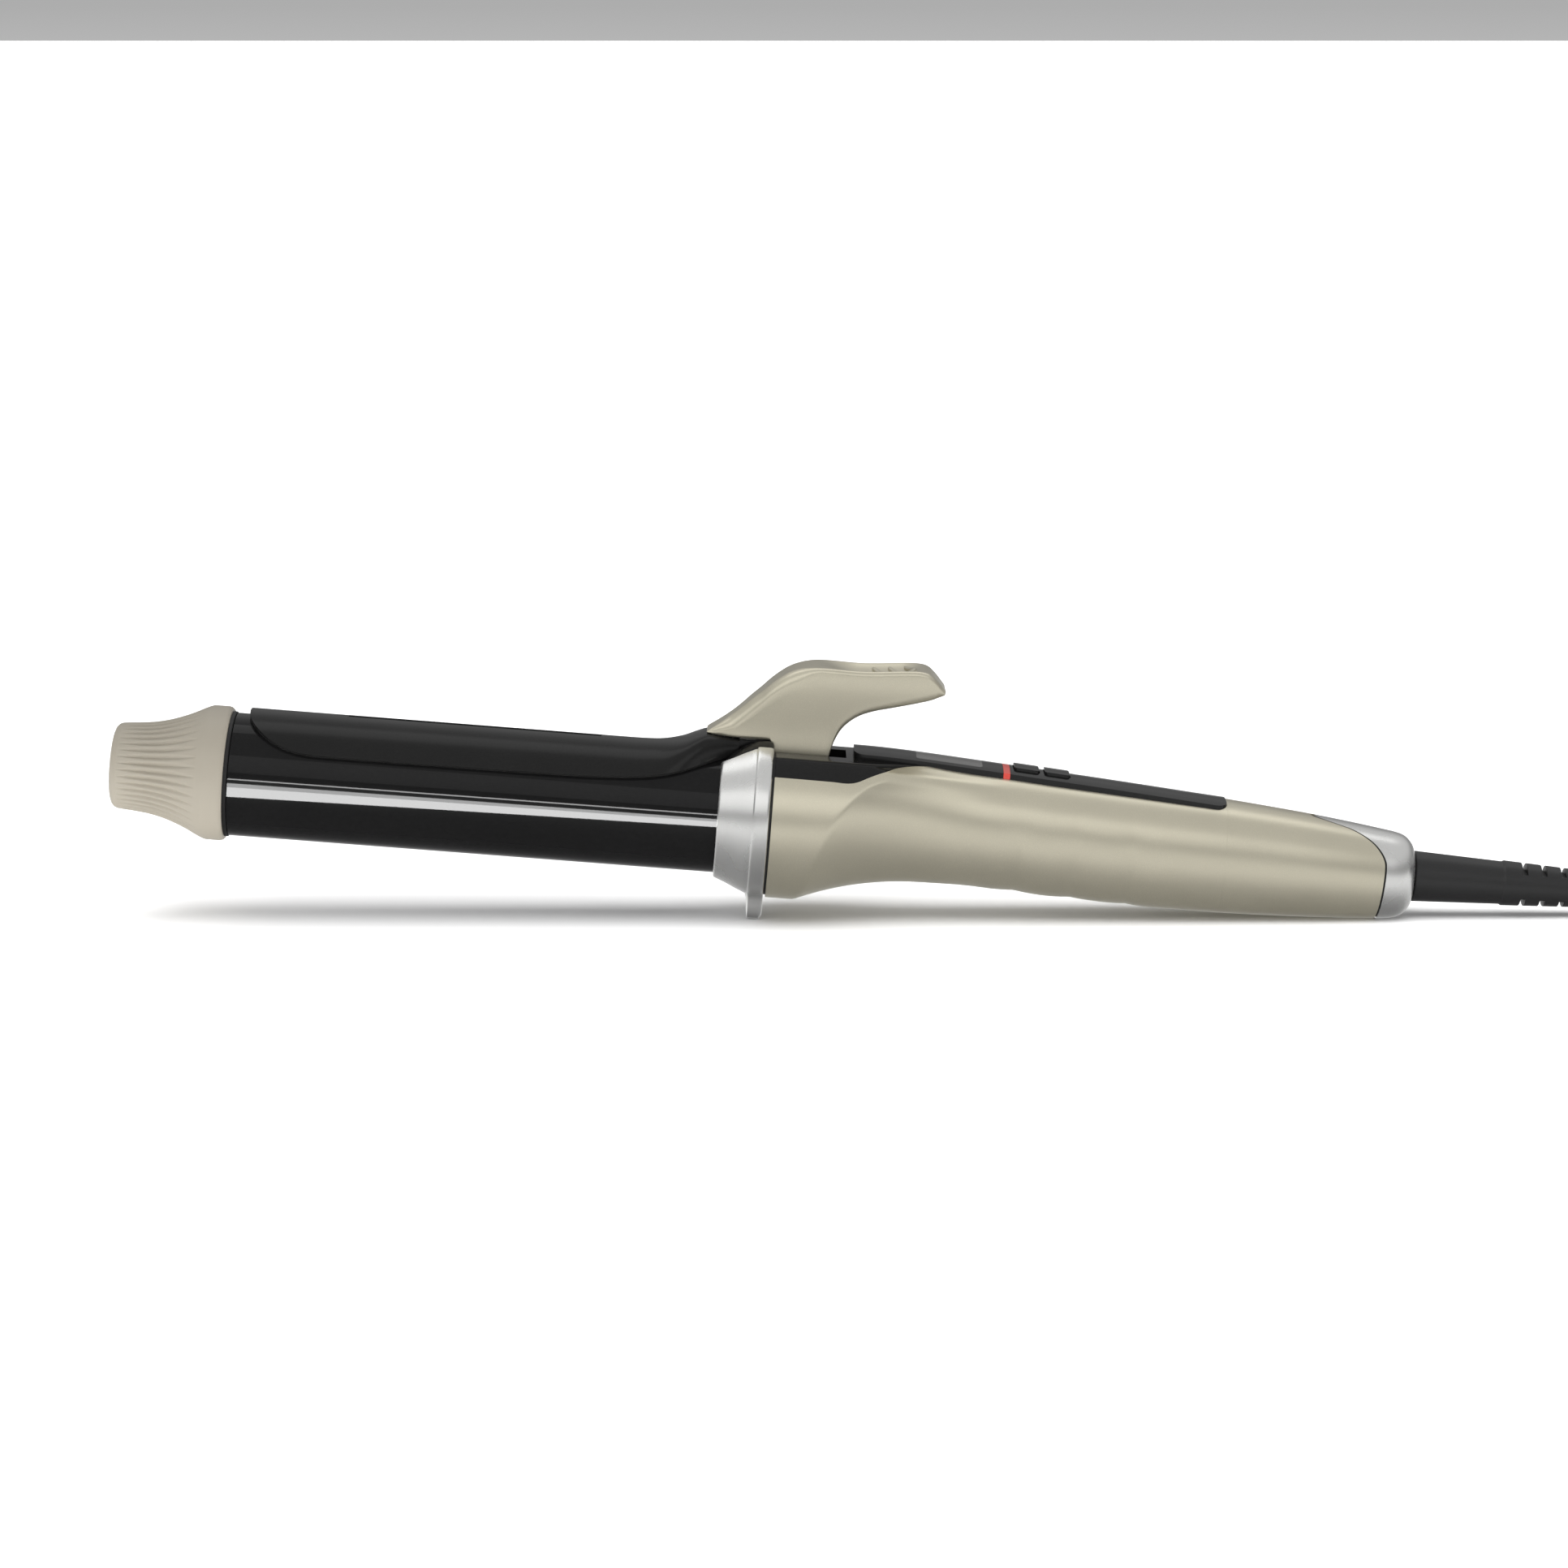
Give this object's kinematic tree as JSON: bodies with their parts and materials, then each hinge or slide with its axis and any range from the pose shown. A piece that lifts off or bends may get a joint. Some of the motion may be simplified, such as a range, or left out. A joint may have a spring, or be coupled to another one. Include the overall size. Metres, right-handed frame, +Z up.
{
  "type": "curling iron",
  "caption": "Spring-clamp curling iron with a black barrel, champagne handle and lever, chrome collar with stand foot, and a swivel cord in a tied hank.",
  "frame": {"origin": "on the table, centre of the iron's footprint box without the free cord", "axes": "+X from the barrel's tip to the cord, +Y across the handle, +Z up from the table it rests on"},
  "size_m": [0.6433, 0.0575, 0.0666],
  "materials": {
    "cream_tip": "matt cream heat-resisting plastic",
    "black_seal": "matt black silicone",
    "barrel_black": "gloss black ceramic coat on aluminium",
    "clamp_black": "satin black ceramic coat on steel",
    "champagne": "champagne pearl lacquer over plastic",
    "satin_chrome": "satin chrome plating",
    "gloss_black": "gloss black plastic",
    "window_smoke": "smoked grey display window",
    "marker_red": "orange-red light guide",
    "cord_black": "black flexible PVC",
    "tie_black": "woven hook-and-loop strap",
    "nickel": "nickel-plated brass",
    "steel": "plain steel",
    "aluminium": "extruded aluminium",
    "ceramic": "white ceramic",
    "hub_plastic": "heat-resisting moulding",
    "board_green": "green circuit board",
    "chip_black": "moulded component",
    "lead_white": "silicone-sleeved lead"
  },
  "bodies": {
    "root": {"barrel_hub": "hub_plastic", "barrel_tube": "barrel_black", "circuit_board": "board_green", "clamp_spring": "steel", "collar_gasket": "black_seal", "contact_holder": "hub_plastic", "control_panel": "gloss_black", "controller_chip": "chip_black", "cord_end": "cord_black", "cord_hank": "cord_black", "cord_lead": "cord_black", "cord_tie": "tie_black", "display_module": "chip_black", "display_window": "window_smoke", "handle_left": "champagne", "handle_right": "champagne", "handle_screws": "steel", "heat_spreader_lower": "aluminium", "heat_spreader_upper": "aluminium", "heater_ceramic": "ceramic", "heater_insulation": "ceramic", "heater_leads": "lead_white", "heater_triac": "chip_black", "hinge_bracket": "steel", "hinge_pin": "steel", "hub_screws": "steel", "key_switches": "chip_black", "mains_capacitor": "chip_black", "plug_blades": "nickel", "plug_body": "cord_black", "slot_cheeks": "gloss_black", "stand_collar": "satin_chrome", "status_led": "marker_red", "status_marker": "marker_red", "supply_leads": "lead_white", "tail_collar": "satin_chrome", "tail_gap_ring": "black_seal", "temperature_sensor": "nickel", "thermal_fuse": "nickel", "tip_cap": "cream_tip", "tip_heat_seal": "black_seal", "top_cover": "gloss_black"},
    "clamp": {"clamp_plate": "clamp_black", "thumb_lever": "champagne", "lever_screws": "steel"},
    "swivel": {"swivel_strain_relief": "cord_black", "swivel_flange": "hub_plastic", "swivel_contact": "nickel"},
    "power_button": {"power_button": "gloss_black"},
    "temperature_button": {"temperature_button": "gloss_black"}
  },
  "joints": [
    {"name": "clamp_hinge", "type": "hinge", "parent": "root", "child": "clamp", "pos_m": [-0.01947, 0, 0.03954], "axis": [0, 1, 0], "range_deg": [0, 20], "stiffness_Nm_per_rad": 0.35, "springref_deg": -28.65},
    {"name": "cord_swivel", "type": "hinge", "parent": "root", "child": "swivel", "pos_m": [0.14125, 0, 0.01043], "axis": [0.997, 0, -0.0779], "continuous": true},
    {"name": "power_button_press", "type": "slide", "parent": "root", "child": "power_button", "axis": [-0.0779, 0, -0.997], "range_m": [0, 0.0005], "stiffness_N_per_m": 600},
    {"name": "temperature_button_press", "type": "slide", "parent": "root", "child": "temperature_button", "axis": [-0.0779, 0, -0.997], "range_m": [0, 0.0005], "stiffness_N_per_m": 600}
  ]
}
